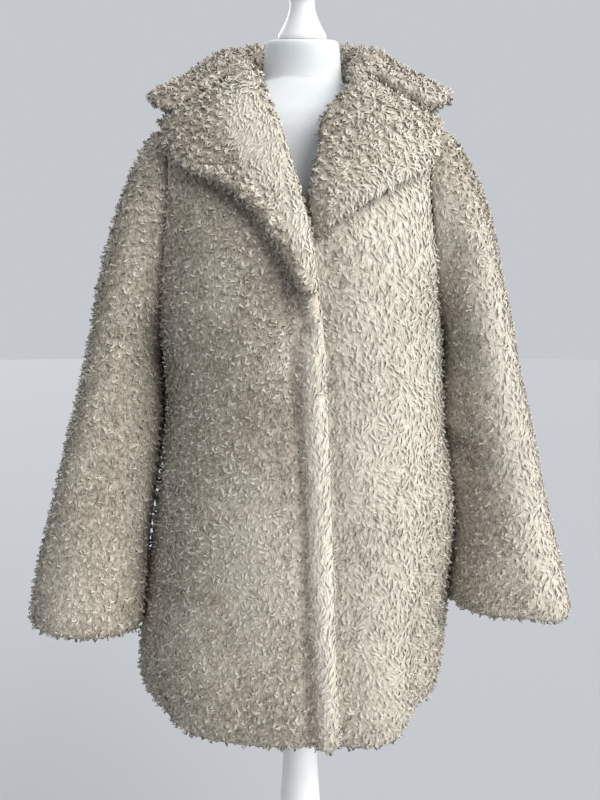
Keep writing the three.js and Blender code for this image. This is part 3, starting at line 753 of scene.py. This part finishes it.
@dataclass
class Tufts:
    """Locks of one kind: where they stand, which way the cloth faces there and how they lie."""

    lock: Lock
    roots: Array
    normals: Array
    comb: Array
    inside: Array | None = None
    middle: Array | None = None
    clump_turn: Array | None = None
    clump_tint: Array | None = None

    def join(self, clumps: "Clumps") -> None:
        """Finds each lock's clump, into which it leans and with which it turns and is tinted."""
        which, self.inside = clumps.find(self.roots)
        self.middle = clumps.middles[which]
        self.clump_turn = clumps.turns[which]
        self.clump_tint = clumps.tints[which]


class Clumps:
    """The clumps that the locks of a piece gather in, with painted shade in the thin gaps between them.
    """

    def __init__(self, roots: Array, spacing: float, chance: np.random.Generator) -> None:
        """Spreads the clumps over a piece.

        Args:
            roots: Where its locks stand.
            spacing: The least distance between the middles of two clumps.
            chance: The source of the differences between neighbours.
        """
        roots = chance.permutation(roots)
        self.middles = roots[apart(roots, spacing)]
        self.turns = chance.normal(0, 0.75, len(self.middles))
        self.tints = chance.normal(0, 0.17, len(self.middles))
        self.tree = kd_tree(self.middles)

    def find(self, roots: Array) -> tuple[Array, Array]:
        """The clump of each lock.

        Args:
            roots: Where the locks stand.

        Returns:
            Each one's clump, and how far inside it the lock stands: 0 at its clump's edge, 1 in the
            middle.
        """
        which = np.empty(len(roots), int)
        inside = np.empty(len(roots))
        for i, root in enumerate(roots):
            (_, nearest, close), (_, _, far) = self.tree.find_n(root, 2)
            which[i] = nearest
            inside[i] = (far - close) / max(far + close, 1e-6)
        return which, inside


@dataclass(frozen=True)
class Tinting:
    """How much each cause changes a lock's tint, from 0 for the darkest painted shade to 1 for bright;
    gaps and recesses get painted shade and combed places a painted sheen.
    """

    plain: float = 0.50
    broad: float = 0.10
    patches: float = 0.08
    fine: float = 0.10
    each: float = 0.09
    # painted sheen: how much lighter the locks are tinted where the pile is combed
    brushed: float = 0.32
    # painted shade: how much darker the locks in the ditch, the dimple and under the lapel's edge are
    # tinted
    painted_recess_shade: float = 0.4
    # painted shade: how much darker the locks at the edge of a clump are tinted
    gap: float = 0.42
    darkest: float = 0.03
    brightest: float = 0.97


@dataclass
class Pile:
    """The curly pile: how it is combed and tinted, and the mesh of one piece's locks."""

    curl: Lock = CURL
    wisp: Lock = WISP
    tinting: Tinting = Tinting()
    bend: float = 0.88
    evened: float = 0.72
    clump: float = 9.5 * MM
    gather: float = 0.75
    curled: float = 0.5
    seed: int = 11

    def brushed(self, roots: Array) -> Array:
        """How smooth the pile is combed at each root, from 0 to 1."""
        placed = np.max([patch.share(roots) for patch in BRUSHED], axis=0)
        stray = 0.2 * smooth(0.5, 1.8, STRAY_COMBING(roots))
        return np.clip(np.maximum(placed, stray), 0, 1)

    def tints(self, tufts: Tufts, brushed: Array, chance: np.random.Generator) -> Array:
        """Each lock's tint, from 0 for the darkest painted shade to 1 for bright.

        Args:
            tufts: The locks.
            brushed: How smooth the pile is combed at each.
            chance: The source of the differences between neighbours.

        Returns:
            The tints.
        """
        roots, amounts = tufts.roots, self.tinting
        broad = amounts.broad * BROAD_TINT(roots) + amounts.patches * PATCH_TINT(roots)
        broad += amounts.fine * FINE_TINT(roots) * calmed(brushed, 0.5)
        each = chance.normal(0, amounts.each, len(roots)) * calmed(brushed, 0.4)
        # painted shade in the recesses: the deeper the ditch, the dimple or the hollow under the lapel,
        # the darker the locks
        painted_recess_shade = lifted((DITCH, DIMPLE, UNDER_LAPEL), roots) / (6 * MM)
        # painted shade: locks near the edge of their clump are tinted darker, less where the pile is
        # combed
        gap = (smooth(0.0, 0.3, tufts.inside) - 1) * calmed(brushed, 0.85)
        each += tufts.clump_tint * calmed(brushed, 0.6) + amounts.gap * gap
        # amounts.brushed * brushed is a painted sheen where the pile is combed
        tint = amounts.plain + broad + amounts.brushed * brushed + amounts.painted_recess_shade * painted_recess_shade + each
        return np.clip(tint, amounts.darkest, amounts.brightest)

    def paths(self, tufts: Tufts, brushed: Array,
              chance: np.random.Generator) -> tuple[Array, Array]:
        """The middle line of each lock.

        Args:
            tufts: The locks.
            brushed: How smooth the pile is combed at each.
            chance: The source of the differences between neighbours.

        Returns:
            The points of each lock, step by step, and the sideways direction of each.
        """
        lock, roots, normals = tufts.lock, tufts.roots, tufts.normals
        count = len(roots)
        lay = along_surface(tufts.comb, normals)
        side = np.cross(normals, lay)
        turn = 0.35 * SWIRLS(roots) + tufts.clump_turn
        turn = (turn + chance.normal(0, lock.stray, count)) * calmed(brushed, 0.65)
        cos, sin = np.cos(turn)[:, None], np.sin(turn)[:, None]
        lay, side = lay * cos + side * sin, side * cos - lay * sin
        lumps = 1 + 0.14 * SMALL_LUMPS(roots) + 0.06 * WIDE_LUMPS(roots)
        height = lock.height * lumps * chance.uniform(0.8, 1.2, count)
        loose = 1 - brushed
        height *= 1 - lock.flattened * brushed + 0.12 * loose
        height *= 1 + 0.5 * (smooth(0.0, 0.5, tufts.inside) - 0.75) * loose
        reach = lock.reach * chance.uniform(0.7, 1.3, count)
        reach *= 1 + lock.drawn_out * brushed - self.curled * loose
        swing = lock.swing * chance.choice([-1, 1], count) * calmed(brushed, 0.7)
        swing *= chance.uniform(0.5, 1.3, count)
        inwards = (tufts.middle - roots) * (self.gather * calmed(brushed, 0.8))[:, None]
        path = np.empty((count, len(lock.steps), 3))
        for i, step in enumerate(lock.steps):
            rise = math.sin(self.bend * math.pi * step)
            sway = math.sin(1.3 * math.pi * step)
            path[:, i] = (roots + normals * (height * rise)[:, None] + inwards * step
                          + lay * (reach * step ** 1.3)[:, None] + side * (swing * sway)[:, None])
        return path, side

    def shape(self, tufts: Tufts,
              chance: np.random.Generator) -> tuple[Array, Array, Array, Array]:
        """The points of every lock.

        Args:
            tufts: The locks.
            chance: The source of the differences between neighbours.

        Returns:
            Each lock's points, the way each faces, and the two coordinates of their places on the
            pile map.
        """
        lock = tufts.lock
        brushed = self.brushed(tufts.roots)
        path, side = self.paths(tufts, brushed, chance)
        tints = self.tints(tufts, brushed, chance)
        rings = len(lock.widths)
        size = chance.uniform(0.75, 1.25, len(path)) * calmed(brushed, 0.3)
        roll = math.pi / 6 + chance.uniform(-0.35, 0.35, len(path))
        points = np.empty((len(path), 3 * rings + 1, 3))
        facing = np.empty_like(points)
        for ring in range(rings):
            ahead = unit(path[:, ring + 1] - path[:, max(ring - 1, 0)])
            across = along_surface(side, ahead)
            deep = np.cross(ahead, across)
            for corner in range(3):
                turn = roll + corner * 2 * math.pi / 3
                wide = lock.half_width * lock.widths[ring] * size * np.cos(turn)
                thick = lock.half_depth * lock.widths[ring] * size * np.sin(turn)
                off = across * wide[:, None] + deep * thick[:, None]
                points[:, 3 * ring + corner] = path[:, ring] + off
                facing[:, 3 * ring + corner] = unit(off)
        points[:, -1] = path[:, -1]
        facing[:, -1] = unit(path[:, -1] - path[:, -2])
        facing = unit(facing * (1 - self.evened) + tufts.normals[:, None] * self.evened)
        along = np.append(np.repeat(lock.steps[:rings], 3), 1.0)
        spread = np.append(np.tile([-0.012, 0.0, 0.012], rings), 0.004)
        u = tints[:, None] + spread
        v = np.broadcast_to(0.03 + 0.94 * along, u.shape)
        return points, facing, u, v

    def mesh(self, name: str, kinds: list[Tufts], seed: int) -> bpy.types.Mesh:
        """One mesh of all the locks of a piece.

        Args:
            name: The mesh's name.
            kinds: The locks, kind by kind.
            seed: Fixes the differences between neighbours.

        Returns:
            The mesh, with its pile map.
        """
        chance = np.random.default_rng(self.seed + seed)
        points, facings, corners, places = [], [], [], []
        clumps = Clumps(np.concatenate([tufts.roots for tufts in kinds]), self.clump, chance)
        first = 0
        for tufts in kinds:
            tufts.join(clumps)
            spots, facing, u, v = self.shape(tufts, chance)
            count, per_lock = spots.shape[:2]
            faces = tufts.lock.faces()
            starts = first + per_lock * np.arange(count)
            corners.append((faces[None] + starts[:, None, None]).reshape(-1))
            points.append(spots.reshape(-1, 3))
            facings.append(facing.reshape(-1, 3))
            at = faces.reshape(-1)
            places.append(np.stack([u[:, at], v[:, at]], -1).reshape(-1, 2))
            first += count * per_lock
        return joined_mesh(name, np.concatenate(points), np.concatenate(facings),
                           np.concatenate(corners), np.concatenate(places))


def joined_mesh(name: str, points: Array, facings: Array, corners: Array,
                places: Array) -> bpy.types.Mesh:
    """A mesh of triangles, made from arrays.

    Args:
        name: The mesh's name.
        points: The points.
        facings: The way the surface faces at each point, for soft shading.
        corners: The point at each corner of each triangle, one after the other.
        places: Each corner's place on the pile map.

    Returns:
        The mesh.
    """
    mesh = bpy.data.meshes.new(name)
    mesh.vertices.add(len(points))
    mesh.vertices.foreach_set("co", points.astype(np.float32).ravel())
    mesh.loops.add(len(corners))
    mesh.loops.foreach_set("vertex_index", corners.astype(np.int32))
    starts = np.arange(0, len(corners), 3, dtype=np.int32)
    mesh.polygons.add(len(starts))
    mesh.polygons.foreach_set("loop_start", starts)
    mesh.polygons.foreach_set("use_smooth", np.ones(len(starts), bool))
    layer = mesh.uv_layers.new(name=PILE_MAP)
    layer.data.foreach_set("uv", places.astype(np.float32).ravel())
    mesh.update(calc_edges=True)
    mesh.validate()
    mesh.normals_split_custom_set_from_vertices(facings)
    return mesh


@dataclass
class Face:
    """What one face of a wall is: a side of the cloth, a rim, or the end at a seam."""

    normal: Vector
    layer: bool
    outside: bool
    open_rim: bool
    thickness: float


@dataclass
class GarmentPiece:
    """One cut piece of the coat: its cloth, on the solid's form, and the pile that it carries."""

    node: str
    course: Course
    curls: int
    wisps: int
    flat: tuple[float, float]
    area: float
    rests_on: list[str]
    sink: float = 3.6 * MM
    sink_share: float = 0.55
    rim_pull: float = 3.5 * MM
    top_pull: float = 3.5 * MM
    low_pull: float = 3.5 * MM
    seam_gap: float = 1.3 * MM
    covered: float = 3 * MM
    relief: tuple[Relief, ...] = ()
    droop: Droop | None = None
    thickest: float = 18 * MM
    farthest: float = 0.05
    seam_crease: float = 0.9
    rim_lean: float = 0.3
    tries: int = 5
    evenness: float = 0.80
    cloth: bpy.types.Object | None = None
    centres: Array | None = field(default=None, repr=False)

    def centre(self, points: Array) -> Array:
        """The middle line that the piece runs round, level with some points.

        Args:
            points: The points, in metres.

        Returns:
            A point of the middle line for each.
        """
        middle = np.zeros_like(points)
        middle[:, 2] = points[:, 2]
        if self.course is Course.SLEEVE:
            for axis in range(2):
                middle[:, axis] = np.interp(points[:, 2], self.centres[:, 2], self.centres[:, axis])
        return middle

    def find_centres(self, slabs: int = 14) -> None:
        """Finds the middle line from the solid, slab by slab.

        Args:
            slabs: How many stretches it is found for.
        """
        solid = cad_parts[self.node].data
        points = np.array([v.co for v in solid.vertices])
        edges = np.linspace(points[:, 2].min(), points[:, 2].max(), slabs + 1)
        found = []
        for low, high in zip(edges[:-1], edges[1:]):
            inside = points[(points[:, 2] >= low) & (points[:, 2] <= high)]
            if len(inside):
                found.append((inside.min(0) + inside.max(0)) / 2)
        self.centres = np.array(found)

    def _face(self, face: bmesh.types.BMFace, own: BVHTree, others: BVHTree) -> Face:
        """Tells what one face of the wall is.

        Args:
            face: The face.
            own: The wall itself, to measure through.
            others: The other solids, to find the neighbour at a seam.

        Returns:
            What it is.
        """
        middle, normal = face.calc_center_median(), face.normal.copy()
        _, _, _, through = own.ray_cast(middle - normal * 1e-5, -normal, self.farthest)
        layer = through is not None and through < self.thickest
        met = others.ray_cast(middle + normal * 1e-4, normal, self.seam_gap)[0]
        at = np.array(middle)[None]
        outwards = Vector((at - self.centre(at))[0])
        outside = self.course is Course.COLLAR or normal.dot(outwards) > 0
        return Face(normal, layer, layer and outside, not layer and met is None, through or 0.0)

    def make_cloth(self, others: BVHTree, pile: Pile,
                   finishes: dict[str, bpy.types.Material]) -> None:
        """Makes the cloth: the solid's wall, thinned by its pile and smoothed.

        Args:
            others: The other solids of the coat, and the torso.
            pile: The pile, which knows where it is combed smooth.
            finishes: The materials by name.
        """
        self.find_centres()
        made = welded(self.node)
        made.normal_update()
        own = BVHTree.FromBMesh(made)
        kinds = {face: self._face(face, own, others) for face in made.faces}
        crease = made.edges.layers.float.new("crease_edge")
        for edge in made.edges:
            sides = [kinds[face] for face in edge.link_faces]
            sewn = any(not side.layer and not side.open_rim for side in sides)
            if sewn and any(side.layer for side in sides):
                edge[crease] = self.seam_crease
        shifts = {vertex: self._shift(vertex, kinds) for vertex in made.verts}
        for vertex, shift in shifts.items():
            vertex.co += shift
        for face, kind in kinds.items():
            face.material_index = FURRED if kind.outside or kind.open_rim else BACKED
        levels = 2 if self.relief else 1
        sides = [finishes["under_pile"], finishes["backing"]]
        self.cloth = rounded(f"{self.node}_cloth", made, levels, sides)
        self._finish_surface(pile)

    def _finish_surface(self, pile: Pile) -> None:
        """Lifts the furred side by its relief, moves the piece, and marks where it is combed.

        Args:
            pile: The pile, which knows where it is combed smooth.
        """
        mesh = self.cloth.data
        points, normals = points_and_normals(mesh)
        furred = np.zeros(len(points), bool)
        for polygon in mesh.polygons:
            if polygon.material_index == FURRED:
                furred[list(polygon.vertices)] = True
        points += normals * (lifted(self.relief, points) * furred)[:, None]
        if self.droop:
            points = self.droop.move(points)
        if self.course is Course.SLEEVE:
            points = SleeveLean().move(points, self.centre(points))
        mesh.vertices.foreach_set("co", points.astype(np.float32).ravel())
        combed = mesh.attributes.new(COMBED, "FLOAT", "POINT")
        combed.data.foreach_set("value", pile.brushed(points).astype(np.float32))
        mesh.update()

    def _shift(self, vertex: bmesh.types.BMVert, kinds: dict[bmesh.types.BMFace, Face]) -> Vector:
        """How a point of the wall moves in to leave room for the pile.

        Args:
            vertex: The point.
            kinds: What each face is.

        Returns:
            The move.
        """
        around = [kinds[face] for face in vertex.link_faces]
        shift = Vector()
        outer = [kind for kind in around if kind.outside]
        if outer:
            depth = min(self.sink, self.sink_share * min(kind.thickness for kind in outer))
            shift -= sum((kind.normal for kind in outer), Vector()).normalized() * depth
        rims = [kind for kind in around if kind.open_rim]
        if rims:
            normal = sum((kind.normal for kind in rims), Vector()).normalized()
            pull = self.top_pull if normal.z > self.rim_lean else self.rim_pull
            shift -= normal * (self.low_pull if normal.z < -self.rim_lean else pull)
        return shift

    def scatter(self, others: BVHTree, pile: Pile, lock: Lock, count: int, seed: int) -> Tufts:
        """Spreads the roots of one kind of lock evenly over the furred side.

        Args:
            others: The other solids, to leave out what one of them covers.
            pile: The pile, which knows where it is combed smooth.
            lock: The kind.
            count: How many at most.
            seed: Fixes the choice.

        Returns:
            The locks.
        """
        mesh = self.cloth.data
        mesh.calc_loop_triangles()
        points, normals = points_and_normals(mesh)
        furred = column(mesh.polygons, "material_index", np.int32) == FURRED
        polygons = column(mesh.loop_triangles, "polygon_index", np.int32)
        corners = column(mesh.loop_triangles, "vertices", np.int32, 3).reshape(-1, 3)
        corners = corners[furred[polygons]]
        a, b, c = (points[corners[:, i]] for i in range(3))
        sizes = np.linalg.norm(np.cross(b - a, c - a), axis=1) / 2
        chance = np.random.default_rng(seed)
        tried = self.tries * count
        chosen = chance.choice(len(sizes), tried, p=sizes / sizes.sum())
        u, v = chance.random((2, tried, 1))
        u, v = np.where(u + v > 1, 1 - u, u), np.where(u + v > 1, 1 - v, v)
        blend = [1 - u - v, u, v]
        roots = sum(w * points[corners[chosen, i]] for i, w in enumerate(blend))
        upright = unit(sum(w * normals[corners[chosen, i]] for i, w in enumerate(blend)))
        wanted = lock.kept(pile.brushed(roots), chance)
        roots, upright = roots[wanted], upright[wanted]
        kept = apart(roots, self.evenness * math.sqrt(sizes.sum() / count))
        ways = unit(upright + unit(roots - self.centre(roots)))
        if self.course is Course.COLLAR:
            ways = upright
        shown = [i for i in kept if self._shows(roots[i], ways[i], others)][:count]
        roots, upright = roots[shown], upright[shown]
        return Tufts(lock, roots, upright, self.comb(roots))

    def _shows(self, root: Array, way: Array, others: BVHTree) -> bool:
        """Whether a lock here would show, and isn't shut in under another piece."""
        return others.ray_cast(Vector(root + way * MM), Vector(way), self.covered)[0] is None

    def comb(self, roots: Array) -> Array:
        """The way that the pile lies: down, and a little away from the middle line."""
        away = roots - self.centre(roots)
        away[:, 2] = 0
        return 0.5 * unit(away) - UP

    def build(self, others: BVHTree, pile: Pile, finishes: dict[str, bpy.types.Material],
              seed: int) -> None:
        """Makes the cloth and its pile, hangs them on the body, and logs how many locks and faces they
        have.

        Args:
            others: The other solids of the coat, and the torso.
            pile: The pile's sizes.
            finishes: The materials by name.
            seed: Fixes what differs between neighbours.
        """
        self.make_cloth(others, pile, finishes)
        kinds = [
            self.scatter(others, pile, pile.curl, self.curls, seed),
            self.scatter(others, pile, pile.wisp, self.wisps, seed + WISP_SEEDS),
        ]
        name = f"{self.node}_fur"
        mesh = pile.mesh(name, kinds, seed)
        mesh.materials.append(finishes["pile"])
        fur = bpy.data.objects.new(name, mesh)
        bpy.context.scene.collection.objects.link(fur)
        for piece in (self.cloth, fur):
            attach(piece, BODY_NAME)
        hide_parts(self.node)
        log.info("%s: %d curls and %d wisps, %d faces, on %d faces of cloth", self.node,
                 len(kinds[0].roots), len(kinds[1].roots), len(mesh.polygons),
                 len(self.cloth.data.polygons))

    def declare(self) -> None:
        """Does nothing."""


@dataclass
class Coat:
    """The whole coat, cut as eight pieces."""

    pile: Pile = field(default_factory=Pile)
    pieces: list[GarmentPiece] = field(default_factory=lambda: [
        GarmentPiece("back", Course.BODY, curls=10800, wisps=26200, flat=(0.60, 0.86), area=0.44,
                     rests_on=["torso_cover"]),
        GarmentPiece("front_right", Course.BODY, curls=9400, wisps=25200, flat=(0.36, 0.86),
                     area=0.25, rests_on=["torso_cover"],
                     relief=(ROLL, DITCH, DIMPLE, UNDER_LAPEL)),
        GarmentPiece("front_left", Course.BODY, curls=8900, wisps=24200, flat=(0.32, 0.86),
                     area=0.23, rests_on=["torso_cover"]),
        GarmentPiece("sleeve_right", Course.SLEEVE, curls=8450, wisps=22000, flat=(0.46, 0.70),
                     area=0.27, rests_on=["back_cloth"]),
        GarmentPiece("sleeve_left", Course.SLEEVE, curls=8450, wisps=22000, flat=(0.46, 0.70),
                     area=0.27, rests_on=["back_cloth"]),
        GarmentPiece("collar", Course.COLLAR, curls=6200, wisps=13200, flat=(0.56, 0.22),
                     area=0.10, rests_on=["back_cloth"], sink=2.2 * MM, sink_share=0.3,
                     rim_pull=-2.0 * MM, top_pull=0.0, low_pull=-2.0 * MM, droop=Droop(),
                     thickest=26 * MM),
        GarmentPiece("lapel_right", Course.BODY, curls=2500, wisps=6700, flat=(0.20, 0.30),
                     area=0.03, rests_on=["front_right_cloth"], rim_pull=-1.0 * MM,
                     top_pull=-11.0 * MM, low_pull=-1.0 * MM, relief=(LAPEL_LIP,)),
        GarmentPiece("lapel_left", Course.BODY, curls=2100, wisps=5800, flat=(0.18, 0.24),
                     area=0.025, rests_on=["front_left_cloth"], rim_pull=-1.0 * MM,
                     top_pull=-11.0 * MM, low_pull=-1.0 * MM),
    ])

    def build(self, finishes: dict[str, bpy.types.Material]) -> None:
        """Makes every piece of the coat.

        Args:
            finishes: The materials by name.
        """
        nodes = [piece.node for piece in self.pieces] + ["torso"]
        for seed, piece in enumerate(self.pieces):
            others = self._solids([node for node in nodes if node != piece.node])
            piece.build(others, self.pile, finishes, seed)
        for piece in self.pieces:
            piece.declare()

    @staticmethod
    def _solids(nodes: list[str]) -> BVHTree:
        """All these solids in one tree for ray casts."""
        points, faces = [], []
        for node in nodes:
            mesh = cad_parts[node].data
            first = len(points)
            points += [v.co.copy() for v in mesh.vertices]
            faces += [[first + i for i in polygon.vertices] for polygon in mesh.polygons]
        return BVHTree.FromPolygons(points, faces)


@dataclass
class DressForm:
    """The limbless form: a padded jersey trunk with a neck, a turned cap, a post and a base."""

    levels: int = 2
    sharp: float = 50
    edge_crease: float = 0.55

    def smoothed(self, node: str, name: str, finish: bpy.types.Material) -> bpy.types.Object:
        """A finer, rounder copy of one solid of the form.

        Args:
            node: The solid.
            name: The new piece's name.
            finish: Its material.

        Returns:
            The piece.
        """
        made = welded(node)
        crease = made.edges.layers.float.new("crease_edge")
        for edge in made.edges:
            if len(edge.link_faces) == 2 and edge.calc_face_angle() > math.radians(self.sharp):
                edge[crease] = self.edge_crease
        piece = rounded(name, made, self.levels, [finish])
        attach(piece, BODY_NAME)
        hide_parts(node)
        log.info("%s: %d faces", name, len(piece.data.polygons))
        return piece

    def build(self, finishes: dict[str, bpy.types.Material]) -> None:
        """Makes the form's four pieces.

        Args:
            finishes: The materials by name.
        """
        torso = self.smoothed("torso", "torso_cover", finishes["jersey"])
        for node in ("neck_cap", "post", "base"):
            self.smoothed(node, f"{node}_turned", finishes["lacquer"])


@dataclass
class Studio:
    """A pale floor, soft light and the camera."""

    eye: tuple[float, float, float] = (0.0, -1.082, 1.077)
    pitch: float = -5.0
    lens: float = 36.0
    sensor: float = 36.0
    floor_radius: float = 30.0
    wall: Colour = (0.56, 0.58, 0.61)
    ground: Colour = (0.41, 0.423, 0.445)

    def camera(self) -> None:
        """The camera, level with the coat's chest and looking a little down."""
        data = bpy.data.cameras.new("camera")
        data.lens, data.sensor_width = self.lens, self.sensor
        camera = bpy.data.objects.new("camera", data)
        camera.location = self.eye
        camera.rotation_euler = (math.radians(90 + self.pitch), 0, 0)
        bpy.context.scene.collection.objects.link(camera)
        bpy.context.scene.camera = camera

    def floor(self) -> None:
        """A wide pale disc under the stand."""
        made = bmesh.new()
        bmesh.ops.create_circle(made, cap_ends=True, radius=self.floor_radius, segments=96)
        mesh = bpy.data.meshes.new("floor")
        made.to_mesh(mesh)
        made.free()
        floor = bpy.data.objects.new("floor", mesh)
        floor.location = (0, 0, -0.5 * MM)
        nodes = Nodes("pale_floor")
        mesh.materials.append(nodes.finish({"Base Color": (*self.ground, 1), "Roughness": 0.9}))
        bpy.context.scene.collection.objects.link(floor)

    def light(self, name: str, way: tuple[float, float, float], spread: float, strength: float,
              colour: Colour) -> None:
        """One wide soft light, far enough away to light the floor evenly.

        Args:
            name: Its name.
            way: The direction in which it stands.
            spread: How wide it looks from the coat, in degrees.
            strength: Its strength, in watts for each square metre.
            colour: Its colour.
        """
        data = bpy.data.lights.new(name, "SUN")
        data.angle, data.energy, data.color = math.radians(spread), strength, colour
        light = bpy.data.objects.new(name, data)
        light.location = way
        light.rotation_euler = (-Vector(way)).to_track_quat("-Z", "Y").to_euler()
        bpy.context.scene.collection.objects.link(light)

    def build(self) -> None:
        """Sets the floor, the lights, the surroundings and the camera."""
        self.floor()
        self.light("window", (2.7, -2.1, 1.75), 60, 3.95, (1.0, 0.98, 0.945))
        self.light("behind", (-1.0, 2.0, 1.3), 45, 1.3, (0.97, 0.98, 1.0))
        world = bpy.data.worlds.new("surroundings")
        world.use_nodes = True
        world.node_tree.nodes["Background"].inputs["Color"].default_value = (*self.wall, 1)
        bpy.context.scene.world = world
        bpy.context.scene.view_settings.view_transform = "Standard"
        self.camera()


def main() -> None:
    """Builds the coat and the form."""
    logging.basicConfig(level=logging.INFO, format="%(name)s: %(message)s")
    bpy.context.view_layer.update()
    finishes = {
        "pile": PileFinish().material(),
        "under_pile": UnderPileFinish().material(),
        "backing": BackingFinish().material(),
        "jersey": JerseyFinish().material(),
        "lacquer": LacquerFinish().material(),
    }
    DressForm().build(finishes)
    Coat().build(finishes)
    Studio().build()


if __name__ == "__main__":
    main()
